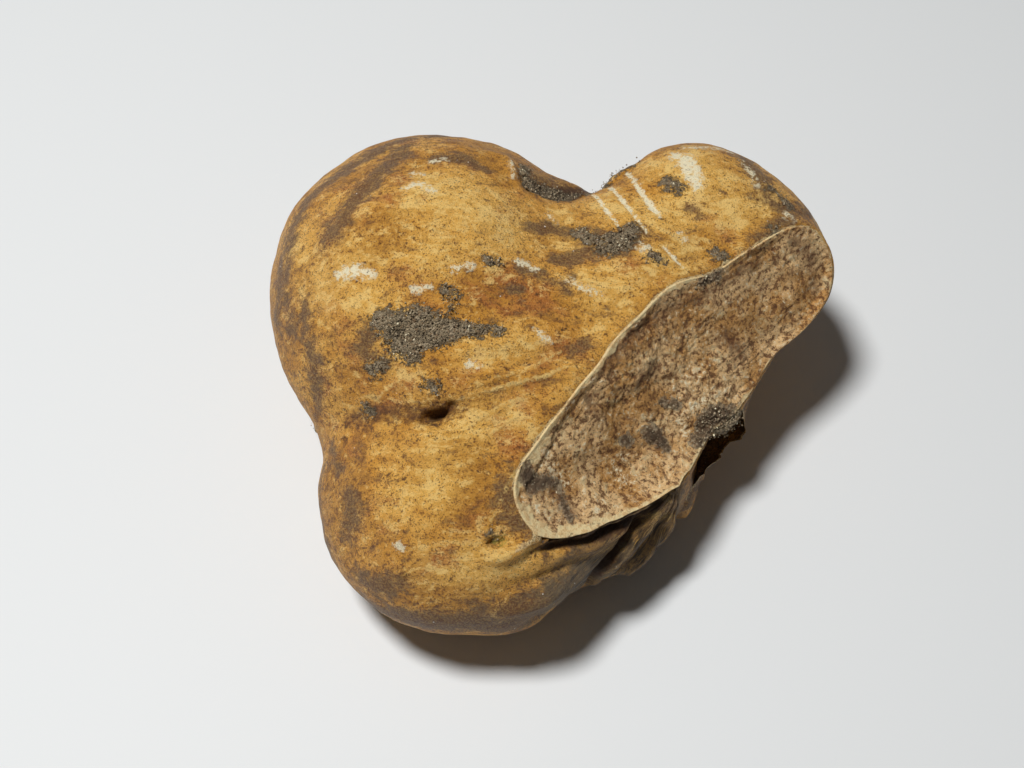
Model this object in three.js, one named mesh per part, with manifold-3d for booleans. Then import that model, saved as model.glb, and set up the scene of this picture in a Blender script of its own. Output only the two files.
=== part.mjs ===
// A white truffle (Tuber magnatum), as dug: three rounded lobes grown into one body, an old break
// along one side that bares the flesh inside a raised pale rim of skin, and a steep side below that
// break where the skin is folded, torn and hollowed. It is one natural piece, so it is one solid.
// Millimetres, +Z up. The truffle lies on z = 0 on three low flattened spots.

import * as THREE from "three";
import { mergeVertices } from "three/addons/utils/BufferGeometryUtils.js";
import Module from "manifold-3d";

const wasm = await Module();
wasm.setup();

// ---- Driving dimensions -------------------------------------------------------------------

// The skin is worked out round a point deep in the flesh, from which all of it can be seen.
const HEART = [-1.5, 0.5, 13.5];
// Moves the truffle's own box to stand centred over the origin.
const CENTRING = [-0.7, -1.17, 0];

// Lobes as ellipsoids: centre, half-axes, and turn about Z in degrees.
const LOBES = [
  { at: [-11.9, 10.7, 15.1], half: [18.1, 18.4, 15.45], turn: 0 }, // hind lobe, the tallest
  { at: [-15.2, 2.7, 13.3], half: [10.7, 10.7, 11.9], turn: 0 }, // its flank
  { at: [-8.4, -11.0, 10.5], half: [15.1, 16.2, 10.95], turn: 0 }, // front lobe, the lowest
  { at: [16.4, 18.7, 15.6], half: [9.6, 9.5, 10.9], turn: 0 }, // far lobe
  { at: [22.2, 13.8, 16.1], half: [8.9, 9.3, 8.7], turn: 0 }, // its shoulder, beside the break
  { at: [-4.3, -0.2, 13.8], half: [16.9, 15.9, 12.4], turn: 35 }, // middle
  { at: [7.6, 7.8, 15.3], half: [17.8, 15.6, 11.5], turn: 30 }, // saddle between hind and far lobes
  { at: [4.3, -7.6, 9.5], half: [12.0, 12.5, 8.7], turn: 42 }, // steep side under the break
  { at: [-0.2, 14.3, 14.3], half: [9.0, 6.0, 8.3], turn: 0 }, // fills the back of the notch
  { at: [15.6, 5.5, 10.5], half: [6.3, 8.2, 8.3], turn: 0 }, // under the shoulder
  { at: [9.0, 10.5, 8.5], half: [9.5, 9.5, 8.95], turn: 0 }, // belly, the third resting spot
];
const LOBE_BLEND = 4.5;
// The steep side is trimmed by a nearly upright plane, well rounded.
const SIDE = { normal: unit([0.74, -0.666, 0.089]), distance: 19.53, blend: 3.0 };

// The break: a shallow dish, long and level along the truffle, that curls up at its near end.
const BREAK = {
  normal: unit([0.516, -0.61, 0.601]),
  centre: [13.43, -0.08, 22.95],
  halfLength: 26.5,
  halfWidth: 12.6,
  hollow: 0.7, // depth of the dish at its middle
  curlFrom: 0.786, // share of the half-axes where the curl starts
  curl: 25.7, // how steeply it curls up
};
// The skin stands proud round the break, and the flesh lies a little below its edge.
const RIM = { height: 0.5, width: 0.8, back: 0.4, thickness: 0.5, step: 0.5, slope: 0.7 };

// Relief on the skin, as tapered strokes: height (negative cuts in), half-width, and points near
// the skin that the stroke runs through.
const STROKES = [
  // the lip that runs on from the rim over the front lobe, and the crevice under it
  {
    rise: 0.9,
    width: 0.7,
    path: [
      [-6.4, -22.3, 17.8], [-4.6, -22.4, 17.6], [-2.9, -21.3, 17.8], [-1.3, -20.2, 17.7],
      [2.5, -19.1, 16.1], [5, -18.2, 15.2],
    ],
  },
  {
    rise: -1.4,
    width: 0.7,
    path: [
      [-1.8, -21.3, 17.3], [1, -20.2, 16.4], [5.5, -18.4, 14.6], [10, -15.7, 13.3],
      [12.2, -13.3, 13.2],
    ],
  },
  // folds drawn together across the steep side
  {
    rise: 0.8,
    width: 0.6,
    path: [[2.2, -20.5, 15.1], [5, -19.2, 13.9], [10.3, -15.6, 13.1], [12.4, -13.2, 13]],
  },
  {
    rise: -1.3,
    width: 0.65,
    path: [[3.3, -21.1, 7.3], [4.9, -20.5, 10.5], [8.7, -17.2, 12.5], [10.5, -15.6, 12.4]],
  },
  {
    rise: 1,
    width: 0.7,
    path: [[4.5, -20.4, 7.3], [6.4, -19.4, 10.2], [10.6, -15.8, 11.5], [12.5, -13.5, 11.9]],
  },
  {
    rise: -1.3,
    width: 0.65,
    path: [[7.2, -18.8, 7.6], [8.8, -17.8, 8.9], [10.2, -16.4, 10.2], [11.5, -14.9, 11.4]],
  },
  {
    rise: 1.1,
    width: 0.8,
    path: [[6, -19.3, 6.7], [8.6, -17.7, 6.7], [11.9, -14.8, 9.2], [12.8, -13.4, 11.2]],
  },
  {
    rise: -0.5,
    width: 0.8,
    path: [[-4.9, -24.9, 15.3], [-2, -23.8, 15.2], [1, -22, 14.6], [4, -20.3, 13.3]],
  },
  {
    rise: 0.6,
    width: 0.9,
    path: [[-4.9, -26.2, 13], [-1, -24.6, 12.7], [2.1, -22.3, 12.1], [4.1, -20.7, 12]],
  },
  {
    rise: -0.7,
    width: 0.8,
    path: [[-2.9, -26, 10.2], [-0.1, -24.3, 9.3], [2.4, -22.1, 8.4], [4.4, -20.8, 8.8]],
  },
  { rise: -0.8, width: 0.8, path: [[0, -24.5, 8], [4.6, -21.3, 5.4], [9.4, -17.8, 3.8], [13, -14, 4]] },
  { rise: 0.9, width: 0.85, path: [[2.4, -22.6, 3.8], [7, -19, 2.6], [11.6, -15, 2.4], [15, -11, 3.8]] },
  // a roll of skin at the break's lower edge, the torn flange below it and the hollow between
  { rise: 1.1, width: 1.8, path: [[16, -5.6, 13], [18.2, -3.9, 12.4], [20.4, -1.6, 11.2]] },
  {
    rise: 2.3,
    width: 0.85,
    path: [[21.6, -0.4, 12], [21.4, -2.8, 9.4], [19.4, -5.8, 8.2], [17.4, -8.3, 7.4], [16, -9.9, 6]],
  },
  { rise: -2.2, width: 1.2, path: [[20, -3.6, 10.4], [18, -5.8, 10], [15.6, -8.6, 9.8]] },
  { rise: 1.4, width: 0.9, path: [[17, -9.2, 4.8], [15.4, -11.2, 4.4]] },
  // deep notch where the hind and far lobes meet, and its overhanging fold
  {
    rise: -1.5,
    width: 1.6,
    path: [[-2.4, 16.4, 27.2], [1.9, 17.2, 25.2], [4.7, 19, 23], [5.8, 21.6, 17], [5, 23, 10]],
  },
  { rise: 0.9, width: 0.9, path: [[-5.6, 20, 27], [-3.6, 17.6, 27.5], [-2.6, 14.8, 27.8]] },
  // valley and long low ridges between the hind and front lobes
  {
    rise: -0.7,
    width: 2,
    path: [[-22.9, -7, 15.6], [-18, -8.4, 21], [-11.7, -9.5, 23.1], [-4.9, -8.7, 24.3]],
  },
  { rise: 0.45, width: 1.1, path: [[-10.8, -4.3, 25.8], [-4.9, -3.6, 26], [1.6, -2.6, 25.6]] },
  { rise: 0.35, width: 0.8, path: [[-9.3, -8.3, 24.2], [-4.9, -7, 24.9], [2, -5.2, 24.7]] },
  // crease on the underside between the lobes
  { rise: -1.6, width: 2, path: [[-19, -3, 3], [-9, -1, 1], [-1, 2, 1], [2, 9, 1], [0, 20, 6]] },
  // insect holes and pits
  { rise: -2.6, width: 0.8, path: [[-11.9, -9.9, 23], [-10.6, -9.6, 23.4]] },
  { rise: -1, width: 0.8, path: [[-5.5, -21.2, 18.5], [-5.1, -21.1, 18.5]] },
  { rise: -1.3, width: 0.9, path: [[-28, 16, 10], [-27.4, 18.4, 10.6]] },
  { rise: -1.1, width: 0.8, path: [[16, 28, 14], [17.4, 28, 13]] },
];

// Earth caked on the truffle, as flat-topped strokes: thickness, and a radius at each point.
const CRUSTS = [
  {
    thick: 0.5,
    path: [
      [-17.1, -1.9, 26.4, 1.8], [-13.7, -3.2, 26.3, 2.5], [-10.4, -2.6, 26.6, 1.6], [-5.2, -1.9, 26.6, 0.4],
    ],
  },
  { thick: 0.5, path: [[-0.4, 17, 26, 1.5], [2.5, 17.3, 25, 1.7], [5, 18.8, 23.6, 1.2]] },
  { thick: 0.4, path: [[5.3, 9, 26.8, 0.8], [6.9, 9, 26.8, 1.2], [8.9, 10.3, 26.6, 0.9]] },
];
const FLESH_CRUSTS = [
  { thick: 0.45, path: [[-2.4, -14.4, 20.2, 0.9], [-1.6, -16.2, 19.2, 1.2], [0.8, -16, 17.8, 0.8]] },
  { thick: 0.45, path: [[10.6, -8.4, 15.6, 1.1], [11.6, -7.6, 15, 1.2]] },
];

// Slow swellings over all of the skin, and the coarser lumps of the broken flesh.
const SKIN_SWELLS = [{ size: 9, rise: 0.5 }, { size: 4, rise: 0.22 }];
const FLESH_LUMPS = [{ size: 4, rise: 0.4 }, { size: 2, rise: 0.22 }];

// Fineness of the facets: an edge is split while it is long, or cuts a corner off the true form.
const FACET = { longest: 2.8, longestAtBreak: 1.2, shortest: 0.55, cutCorner: 0.06, passes: 3 };
const REACH = 45; // further from the heart than any skin
const CORE = 2; // nearer the heart than any skin

// ---- Small vector helpers -----------------------------------------------------------------

function dot(a, b) {
  return a[0] * b[0] + a[1] * b[1] + a[2] * b[2];
}
function plus(a, b, scale = 1) {
  return [a[0] + b[0] * scale, a[1] + b[1] * scale, a[2] + b[2] * scale];
}
function distance(a, b) {
  return Math.hypot(...plus(a, b, -1));
}
function cross(a, b) {
  return [a[1] * b[2] - a[2] * b[1], a[2] * b[0] - a[0] * b[2], a[0] * b[1] - a[1] * b[0]];
}
function unit(a) {
  return a.map((value) => value / Math.hypot(...a));
}
function clamp01(x) {
  return Math.min(1, Math.max(0, x));
}
function smooth(x) {
  const t = clamp01(x);
  return t * t * (3 - 2 * t);
}
// The lesser or greater of two distances, with a fillet of about the blend's width.
function smoothMin(a, b, blend) {
  const h = clamp01(0.5 + (0.5 * (b - a)) / blend);
  return b * (1 - h) + a * h - blend * h * (1 - h);
}
function smoothMax(a, b, blend) {
  return -smoothMin(-a, -b, blend);
}

// ---- Swellings: smooth lattice noise from -1 to 1 ----------------------------------------

function latticeValue(x, y, z, seed) {
  const s = Math.sin(x * 127.1 + y * 311.7 + z * 74.7 + seed * 53.3) * 43758.5453;
  return s - Math.floor(s);
}
function lumps(p, size, seed) {
  const at = p.map((value) => value / size);
  const cell = at.map(Math.floor);
  const t = at.map((value, i) => smooth(value - cell[i]));
  let sum = 0;
  for (let corner = 0; corner < 8; corner++) {
    const step = [corner & 1, (corner >> 1) & 1, corner >> 2];
    const weight = step.reduce((w, s, i) => w * (s ? t[i] : 1 - t[i]), 1);
    sum += weight * latticeValue(cell[0] + step[0], cell[1] + step[1], cell[2] + step[2], seed);
  }
  return 2 * sum - 1;
}
function layered(p, layers, firstSeed) {
  return layers.reduce((sum, { size, rise }, i) => sum + rise * lumps(p, size, firstSeed + i), 0);
}

// ---- The body -----------------------------------------------------------------------------

function lobeDistance(p, { at, half, turn }) {
  const q = plus(p, at, -1);
  const a = THREE.MathUtils.degToRad(turn);
  const x = (q[0] * Math.cos(a) + q[1] * Math.sin(a)) / half[0];
  const y = (q[1] * Math.cos(a) - q[0] * Math.sin(a)) / half[1];
  const z = q[2] / half[2];
  const k0 = Math.hypot(x, y, z);
  const k1 = Math.hypot(x / half[0], y / half[1], z / half[2]) + 1e-9;
  return (k0 * (k0 - 1)) / k1;
}
function bodyDistance(p) {
  const lobes = LOBES.map((lobe) => lobeDistance(p, lobe)).reduce((a, b) => smoothMin(a, b, LOBE_BLEND));
  return smoothMax(lobes, dot(p, SIDE.normal) - SIDE.distance, SIDE.blend);
}
function outward(p) {
  const step = 0.05;
  const here = bodyDistance(p);
  return unit([0, 1, 2].map((axis) => {
    const moved = [...p];
    moved[axis] += step;
    return bodyDistance(moved) - here;
  }));
}

// The outermost crossing of the body's surface in one direction from the heart.
function surfacePoint(direction) {
  let outside = REACH;
  let inside = CORE;
  for (let r = REACH; r > CORE; r -= 1) {
    if (bodyDistance(plus(HEART, direction, r)) < 0) {
      inside = r;
      break;
    }
    outside = r;
  }
  for (let i = 0; i < 14; i++) {
    const r = (inside + outside) / 2;
    if (bodyDistance(plus(HEART, direction, r)) < 0) inside = r;
    else outside = r;
  }
  return plus(HEART, direction, inside);
}

// The break's own axes: along the truffle, and up the dish.
const ALONG = unit(cross([0, 0, 1], BREAK.normal));
const UPWARD = cross(BREAK.normal, ALONG);

// Height of the break above its plane, at a distance along and up it from its centre.
function breakHeight(along, upward) {
  const share = Math.hypot(along / BREAK.halfLength, upward / BREAK.halfWidth);
  const nearEnd = clamp01(0.5 - along / 16);
  const curl = BREAK.curl * Math.max(0, share - BREAK.curlFrom) ** 2 * nearEnd;
  return curl - BREAK.hollow * clamp01(1 - share * share);
}
// How far a point stands above the break: positive is what has broken away.
function aboveBreak(p) {
  const q = plus(p, BREAK.centre, -1);
  return dot(q, BREAK.normal) - breakHeight(dot(q, ALONG), dot(q, UPWARD));
}

// ---- Relief on the skin -------------------------------------------------------------------

// Distance from a point to a path, and how far along it, as a count of its points.
function toPath(p, path) {
  let best = { away: Infinity, station: 0 };
  for (let i = 0; i + 1 < path.length; i++) {
    const span = plus(path[i + 1], path[i], -1);
    const t = clamp01(dot(plus(p, path[i], -1), span) / dot(span, span));
    const away = distance(p, plus(path[i], span, t));
    if (away < best.away) best = { away, station: i + t };
  }
  return best;
}
function strokeRelief(p, { rise, width, path }) {
  const { away, station } = toPath(p, path);
  const toEnd = Math.min(station, path.length - 1 - station);
  const taper = path.length > 2 ? 0.35 + 0.65 * smooth(toEnd / 0.8) : 1;
  return rise * taper * Math.exp(-((away / width) ** 2));
}
function crustRelief(p, { thick, path }) {
  const { away, station } = toPath(p, path);
  const i = Math.min(Math.floor(station), path.length - 2);
  const radius = THREE.MathUtils.lerp(path[i][3], path[i + 1][3], station - i);
  return thick * smooth((radius - away) / 0.7 + 0.5);
}
function total(reliefs) {
  return reliefs.reduce((sum, relief) => sum + relief, 0);
}

// The strokes, with their points brought onto the body's surface.
const SKIN_STROKES = STROKES.map((stroke) => ({
  ...stroke,
  path: stroke.path.map((point) => surfacePoint(unit(plus(point, HEART, -1)))),
}));

function skinRelief(p) {
  const swells = layered(p, SKIN_SWELLS, 1);
  const strokes = total(SKIN_STROKES.map((stroke) => strokeRelief(p, stroke)));
  const crusts = total(CRUSTS.map((crust) => crustRelief(p, crust)));
  const rim = RIM.height * Math.exp(-(((aboveBreak(p) + RIM.back) / RIM.width) ** 2));
  return swells + strokes + crusts + rim;
}

// ---- Facets -------------------------------------------------------------------------------

// A closed mesh of the points that pointAt gives for the corners of a starting solid. Its edges are
// split at the middle where mustSplit asks, and its triangles with them.
function closedMesh(startingSolid, pointAt, mustSplit) {
  startingSolid.deleteAttribute("normal");
  startingSolid.deleteAttribute("uv");
  const merged = mergeVertices(startingSolid, 1e-4);
  const position = merged.getAttribute("position");
  const corners = [];
  for (let i = 0; i < position.count; i++) {
    corners.push([position.getX(i), position.getY(i), position.getZ(i)]);
  }
  const points = corners.map(pointAt);
  let triangles = [];
  for (let i = 0; i < merged.index.count; i += 3) {
    triangles.push([0, 1, 2].map((corner) => merged.index.getX(i + corner)));
  }
  const splits = new Map();
  const splitOf = (a, b) => {
    const key = Math.min(a, b) + "_" + Math.max(a, b);
    if (!splits.has(key)) {
      const corner = plus(corners[a], corners[b]).map((value) => value / 2);
      const point = pointAt(corner);
      const middle = plus(points[a], points[b]).map((value) => value / 2);
      const split = mustSplit(middle, distance(points[a], points[b]), distance(point, middle));
      if (split) {
        corners.push(corner);
        points.push(point);
      }
      splits.set(key, split ? points.length - 1 : -1);
    }
    return splits.get(key);
  };
  for (let pass = 0; pass < FACET.passes; pass++) {
    triangles = triangles.flatMap(([a, b, c]) => split(a, b, c, splitOf(a, b), splitOf(b, c), splitOf(c, a)));
  }
  return new wasm.Manifold(new wasm.Mesh({
    numProp: 3,
    vertProperties: new Float32Array(points.flat()),
    triVerts: new Uint32Array(triangles.flat()),
  }));
}

// A triangle divided at those of its edges' middles that are there (not negative).
function split(a, b, c, ab, bc, ca) {
  const made = [ab, bc, ca].filter((middle) => middle >= 0).length;
  if (made === 0) return [[a, b, c]];
  if (made === 3) return [[a, ab, ca], [ab, b, bc], [ca, bc, c], [ab, bc, ca]];
  // turned until one split edge comes first, or two come first and second
  if (ab < 0 || (made === 2 && bc < 0)) return split(b, c, a, bc, ca, ab);
  if (made === 1) return [[a, ab, c], [ab, b, c]];
  return [[ab, b, bc], [a, ab, bc], [a, bc, c]];
}

function cutsCorner(length, miss) {
  return length > 2 * FACET.shortest && miss > FACET.cutCorner;
}

// The whole truffle as it was before it broke, from the directions of a subdivided icosahedron.
function unbrokenTruffle() {
  const skinPoint = (corner) => {
    const p = surfacePoint(unit(corner));
    const raised = plus(p, outward(p), skinRelief(p));
    return [raised[0], raised[1], Math.max(0, raised[2])];
  };
  const mustSplit = (middle, length, miss) => {
    const longest = Math.abs(aboveBreak(middle)) < 1.3 ? FACET.longestAtBreak : FACET.longest;
    return length > longest || cutsCorner(length, miss);
  };
  return closedMesh(new THREE.IcosahedronGeometry(1, 9), skinPoint, mustSplit);
}

// What broke away: a slab whose underside is the lumpy dish of the break, a step lower inside the rim.
function brokenPiece() {
  const size = { along: 68, upward: 40, top: 30 };
  const slabPoint = ([along, upward, lift]) => {
    const flat = plus(plus(BREAK.centre, ALONG, along), UPWARD, upward);
    if (lift > 0) return plus(flat, BREAK.normal, size.top);
    const dish = plus(flat, BREAK.normal, Math.min(breakHeight(along, upward), size.top / 2));
    const inFlesh = smooth((-bodyDistance(dish) - RIM.thickness) / RIM.slope);
    const lumpy = layered(dish, FLESH_LUMPS, 5) * (0.3 + 0.7 * inFlesh);
    const crusts = total(FLESH_CRUSTS.map((crust) => crustRelief(dish, crust)));
    return plus(dish, BREAK.normal, lumpy + crusts - RIM.step * inFlesh);
  };
  const mustSplit = (middle, length, miss) => bodyDistance(middle) < 1.5 && cutsCorner(length, miss);
  const slab = new THREE.BoxGeometry(size.along, size.upward, 2, 26, 16, 1);
  return closedMesh(slab, slabPoint, mustSplit);
}

// ---- The part -----------------------------------------------------------------------------

const SLIVER = 0.04; // edges shorter than this are closed up after the cut
const truffleSolid = unbrokenTruffle().subtract(brokenPiece()).simplify(SLIVER);

function geometryOf(solid) {
  const mesh = solid.getMesh();
  const geometry = new THREE.BufferGeometry();
  geometry.setAttribute("position", new THREE.BufferAttribute(mesh.vertProperties, 3));
  geometry.setIndex(new THREE.BufferAttribute(mesh.triVerts, 1));
  geometry.computeVertexNormals();
  return geometry;
}

const skin = new THREE.MeshStandardMaterial({ color: 0xb8883f, roughness: 0.75, metalness: 0 });
const truffle = new THREE.Mesh(geometryOf(truffleSolid), skin);
truffle.name = "truffle";
truffle.position.set(...CENTRING);

const part = new THREE.Group();
part.add(truffle);
export default part;
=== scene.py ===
"""The looks of a white truffle (Tuber magnatum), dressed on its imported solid.

One natural piece: three rounded lobes of leathery ochre skin, an old break along one side that bares
the marbled flesh inside a pale raised rim, drawn-up folds and a torn flange below the break, insect
holes, and caked earth. Lengths in the shape's own code are millimetres in the truffle's working
frame, as in the part's source; meshes are moved to the row frame and into metres as they are made.
"""

import bpy
import numpy as np
from mathutils import Matrix


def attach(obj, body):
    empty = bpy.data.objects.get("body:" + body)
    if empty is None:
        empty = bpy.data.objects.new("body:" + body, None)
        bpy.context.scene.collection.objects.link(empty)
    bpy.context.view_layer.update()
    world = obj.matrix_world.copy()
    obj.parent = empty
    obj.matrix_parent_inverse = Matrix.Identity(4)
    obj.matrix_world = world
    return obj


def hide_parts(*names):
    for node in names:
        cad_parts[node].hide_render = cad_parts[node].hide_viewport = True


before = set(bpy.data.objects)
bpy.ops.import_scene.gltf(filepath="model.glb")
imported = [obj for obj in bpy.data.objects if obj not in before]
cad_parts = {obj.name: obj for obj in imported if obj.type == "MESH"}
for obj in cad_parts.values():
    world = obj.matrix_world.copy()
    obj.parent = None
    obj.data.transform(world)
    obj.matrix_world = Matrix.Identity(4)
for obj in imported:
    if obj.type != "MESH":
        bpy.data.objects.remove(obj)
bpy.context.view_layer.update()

bl_info = {
    "name": "White truffle",
    "version": (1, 0, 0),
    "blender": (4, 5, 0),
    "location": "View3D > Sidebar > Truffle",
    "description": "Builds the skin, broken flesh and caked earth of a white truffle",
    "category": "Add Mesh",
}

MM = 0.001


def unit(a):
    """Vectors scaled to length one."""
    a = np.asarray(a, float)
    return a / np.linalg.norm(a, axis=-1, keepdims=True)


# ---- The form: the part's own, with the insect hole and the pit cut sharper -------------------

HEART = np.array([-1.5, 0.5, 13.5])
CORE, REACH = 2.0, 45.0  # nearer the heart, and further from it, than any skin
SEARCH_STEP, GRADIENT_STEP = 1.5, 0.05
SKIN_HALVINGS, CUT_HALVINGS = 14, 16  # of the two searches by bisection
CENTRING = np.array([-0.7, -1.17, 0.0])
LOBES = [  # centre, half-axes, turn about Z in degrees
    ((-11.9, 10.7, 15.1), (18.1, 18.4, 15.45), 0),  # hind lobe, the tallest
    ((-15.2, 2.7, 13.3), (10.7, 10.7, 11.9), 0),  # its flank
    ((-8.4, -11.0, 10.5), (15.1, 16.2, 10.95), 0),  # front lobe, the lowest
    ((16.4, 18.7, 15.6), (9.6, 9.5, 10.9), 0),  # far lobe
    ((22.2, 13.8, 16.1), (8.9, 9.3, 8.7), 0),  # its shoulder, beside the break
    ((-4.3, -0.2, 13.8), (16.9, 15.9, 12.4), 35),  # middle
    ((7.6, 7.8, 15.3), (17.8, 15.6, 11.5), 30),  # saddle between hind and far lobes
    ((4.3, -7.6, 9.5), (12.0, 12.5, 8.7), 42),  # steep side under the break
    ((-0.2, 14.3, 14.3), (9.0, 6.0, 8.3), 0),  # fills the back of the notch
    ((15.6, 5.5, 10.5), (6.3, 8.2, 8.3), 0),  # under the shoulder
    ((9.0, 10.5, 8.5), (9.5, 9.5, 8.95), 0),  # belly, the third resting spot
]
LOBE_BLEND = 4.5
SIDE_NORMAL, SIDE_DISTANCE, SIDE_BLEND = unit([0.74, -0.666, 0.089]), 19.53, 3.0

BREAK_NORMAL = unit([0.516, -0.61, 0.601])
BREAK_CENTRE = np.array([13.43, -0.08, 22.95])
BREAK_HALF_LENGTH, BREAK_HALF_WIDTH = 26.5, 12.6
BREAK_HOLLOW, CURL_FROM, CURL, CURL_FADE = 0.7, 0.786, 25.7, 16
ALONG = unit(np.cross([0, 0, 1], BREAK_NORMAL))
UPWARD = np.cross(BREAK_NORMAL, ALONG)

# Relief on the skin: rise (negative cuts in), half-width, and the points the stroke runs through.
STROKES = [
    # the lip that runs on from the rim over the front lobe, and the crevice under it
    (0.9, 0.7, [(-6.4, -22.3, 17.8), (-4.6, -22.4, 17.6), (-2.9, -21.3, 17.8), (-1.3, -20.2, 17.7),
        (2.5, -19.1, 16.1), (5, -18.2, 15.2)]),
    (-1.4, 0.7, [(-1.8, -21.3, 17.3), (1, -20.2, 16.4), (5.5, -18.4, 14.6), (10, -15.7, 13.3),
        (12.2, -13.3, 13.2)]),
    # folds drawn together across the steep side
    (0.8, 0.6, [(2.2, -20.5, 15.1), (5, -19.2, 13.9), (10.3, -15.6, 13.1), (12.4, -13.2, 13)]),
    (-1.3, 0.65, [(3.3, -21.1, 7.3), (4.9, -20.5, 10.5), (8.7, -17.2, 12.5), (10.5, -15.6, 12.4)]),
    (1, 0.7, [(4.5, -20.4, 7.3), (6.4, -19.4, 10.2), (10.6, -15.8, 11.5), (12.5, -13.5, 11.9)]),
    (-1.3, 0.65, [(7.2, -18.8, 7.6), (8.8, -17.8, 8.9), (10.2, -16.4, 10.2), (11.5, -14.9, 11.4)]),
    (1.1, 0.8, [(6, -19.3, 6.7), (8.6, -17.7, 6.7), (11.9, -14.8, 9.2), (12.8, -13.4, 11.2)]),
    (-0.5, 0.8, [(-4.9, -24.9, 15.3), (-2, -23.8, 15.2), (1, -22, 14.6), (4, -20.3, 13.3)]),
    (0.6, 0.9, [(-4.9, -26.2, 13), (-1, -24.6, 12.7), (2.1, -22.3, 12.1), (4.1, -20.7, 12)]),
    (-0.7, 0.8, [(-2.9, -26, 10.2), (-0.1, -24.3, 9.3), (2.4, -22.1, 8.4), (4.4, -20.8, 8.8)]),
    (-0.8, 0.8, [(0, -24.5, 8), (4.6, -21.3, 5.4), (9.4, -17.8, 3.8), (13, -14, 4)]),
    (0.9, 0.85, [(2.4, -22.6, 3.8), (7, -19, 2.6), (11.6, -15, 2.4), (15, -11, 3.8)]),
    # a roll of skin at the break's lower edge, and the hollow below it behind the torn flap
    (1.1, 1.8, [(16, -5.6, 13), (18.2, -3.9, 12.4), (20.4, -1.6, 11.2)]),
    (-2.2, 1.2, [(20, -3.6, 10.4), (18, -5.8, 10), (15.6, -8.6, 9.8)]),
    (1.4, 0.9, [(17, -9.2, 4.8), (15.4, -11.2, 4.4)]),
    # deep notch where the hind and far lobes meet, and its overhanging fold
    (-1.5, 1.6, [(-2.4, 16.4, 27.2), (1.9, 17.2, 25.2), (4.7, 19, 23), (5.8, 21.6, 17), (5, 23, 10)]),
    (0.9, 0.9, [(-5.6, 20, 27), (-3.6, 17.6, 27.5), (-2.6, 14.8, 27.8)]),
    # valley and long low ridges between the hind and front lobes
    (-0.7, 2, [(-22.9, -7, 15.6), (-18, -8.4, 21), (-11.7, -9.5, 23.1), (-4.9, -8.7, 24.3)]),
    (0.45, 1.1, [(-10.8, -4.3, 25.8), (-4.9, -3.6, 26), (1.6, -2.6, 25.6)]),
    (0.35, 0.8, [(-9.3, -8.3, 24.2), (-4.9, -7, 24.9), (2, -5.2, 24.7)]),
    # crease on the underside between the lobes
    (-1.6, 2, [(-19, -3, 3), (-9, -1, 1), (-1, 2, 1), (2, 9, 1), (0, 20, 6)]),
    # insect holes and pits
    (-1.4, 0.6, [(-11.9, -9.9, 23), (-10.6, -9.6, 23.4)]),
    (-0.5, 0.7, [(-5.5, -21.2, 18.5), (-5.1, -21.1, 18.5)]),
    (-1.3, 0.9, [(-28, 16, 10), (-27.4, 18.4, 10.6)]),
    (-1.1, 0.8, [(16, 28, 14), (17.4, 28, 13)]),
]

# Holes with a sharp edge: how deep, how wide, and where, in pixels of the camera's frame.
HOLES = [
    (0.9, 0.7, [(421, 418), (434, 415), (449, 406)]),
    (0.3, 0.6, [(491, 541), (499, 539)]),
    (0.5, 0.35, [(430, 384), (436, 387)]),
    (0.4, 0.35, [(404, 577), (407, 580)]),
]

# The torn flap below the break's lower edge, which stands in the source as a ridge: points along
# its free lip, and the points of the skin that it grows from.
FLAP_LIP = [(21.3, -0.8, 12.0), (21.4, -2.0, 10.8), (21.7, -3.4, 9.6), (20.6, -4.5, 8.9), (19.0, -5.9, 8.4),
            (17.9, -6.8, 8.2), (17.0, -8.0, 7.9), (16.1, -9.1, 7.5), (15.1, -10.5, 7.4), (14.2, -12.2, 7.4)]
FLAP_ROOT = [(21.9, 0.9, 12.9), (21.4, -0.6, 11.4), (20.4, -1.7, 9.8), (18.8, -3.2, 8.6), (17.3, -4.9, 7.9),
             (16.4, -6.6, 7.4), (15.8, -8.0, 7.0), (15.2, -9.2, 6.6), (14.4, -10.5, 6.6), (13.6, -11.8, 7.2)]

SKIN_SWELLS = [(9, 0.5), (4, 0.22)]  # lump size and rise
FLESH_LUMPS = [(4, 0.4), (2, 0.22)]
SKIN_GRAIN = [(1.5, 0.08), (0.75, 0.05)]  # the leathery unevenness, too fine for the solid
FLESH_GRAIN = [(1.6, 0.5), (0.62, 0.45), (0.32, 0.6)]  # the torn crumb of the flesh
RIM_BACK = 0.4  # how far below the break the raised edge of skin is highest
GROUND_DEPTH, GROUND_SLOPE = 2.2, 1.6  # of the skin piece under the flesh, and how far in it is full
# The broken edge is brought down on lines from a point well behind the break, at most to this share.
CUT_FROM = BREAK_CENTRE - 45 * BREAK_NORMAL
CUT_SHARE = 0.4
# The wrinkles of the steep side fan out from here: how far out on the side they begin, how far from
# here they reach, how many there are to a radian, and how little they change on the way out.
WRINKLE_CENTRE = np.array([14.0, -11.6, 13.6])
WRINKLES_FROM, WRINKLES_REACH = 14.5, 26.0
WRINKLES_PER_RADIAN, WRINKLE_DRIFT = 14, 0.09
# The flesh is laid out from this point of the break, along and upward of its centre, and the
# break's outline is looked for at these distances from it.
FLESH_CENTRE = (-0.5, -4.0)
OUTLINE_SEARCH = np.linspace(4, 34, 241)
FLAP_STATIONS, FLAP_ROWS, FLAP_SOFTENING = 220, 26, 0.45
GRAIN_SCATTER, SHARE_ON_FLESH, GRAIN_SEED = 0.2, 0.07, 7


# ---- The camera, which also places the marks ----------------------------------------------------

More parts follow.
